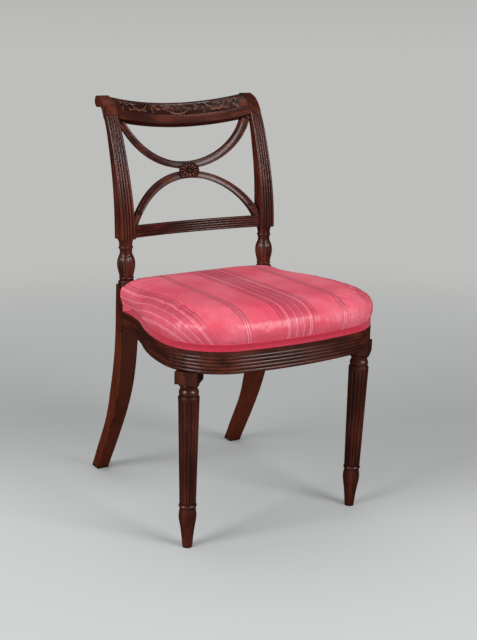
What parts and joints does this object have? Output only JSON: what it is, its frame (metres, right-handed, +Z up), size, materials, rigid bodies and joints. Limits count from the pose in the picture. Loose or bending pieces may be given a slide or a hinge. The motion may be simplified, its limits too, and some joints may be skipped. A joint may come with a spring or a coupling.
{
  "type": "side chair",
  "caption": "Side chair with a scrolled, bowed back of meeting arcs and a carved rosette, a bell-shaped padded seat, reeded tapering front legs and sabre rear legs.",
  "frame": {"origin": "on the floor, at the middle of the chair's overall box", "axes": "X across the chair, +Y towards the back (the front faces -Y), +Z up"},
  "size_m": [0.4482, 0.5701, 0.82],
  "materials": {
    "mahogany": "dark red-brown, polished",
    "block_wood": "plain sawn secondary wood",
    "screw_steel": "dull steel",
    "webbing": "woven jute",
    "tack_steel": "blued steel",
    "canvas": "plain linen canvas",
    "stuffing": "curled hair",
    "silk": "rose silk with darker stripes, satin",
    "tape": "crimson woven tape"
  },
  "bodies": {
    "root": {"rear_post_right": "mahogany", "rear_post_left": "mahogany", "crest_rail": "mahogany", "stay_rail": "mahogany", "upper_arc": "mahogany", "lower_arc": "mahogany", "arc_rosette": "mahogany", "side_seat_rail_right": "mahogany", "side_seat_rail_left": "mahogany", "front_seat_rail": "mahogany", "rear_seat_rail": "mahogany", "front_leg_right": "mahogany", "front_leg_left": "mahogany", "corner_block_rear_right": "block_wood", "corner_block_rear_left": "block_wood", "corner_block_front_right": "block_wood", "corner_block_front_left": "block_wood", "corner_block_screws": "screw_steel", "seat_webbing_along": "webbing", "seat_webbing_across": "webbing", "webbing_tacks": "tack_steel", "seat_canvas": "canvas", "seat_stuffing": "stuffing", "seat_cover": "silk", "seat_trim_tape": "tape"}
  },
  "joints": []
}
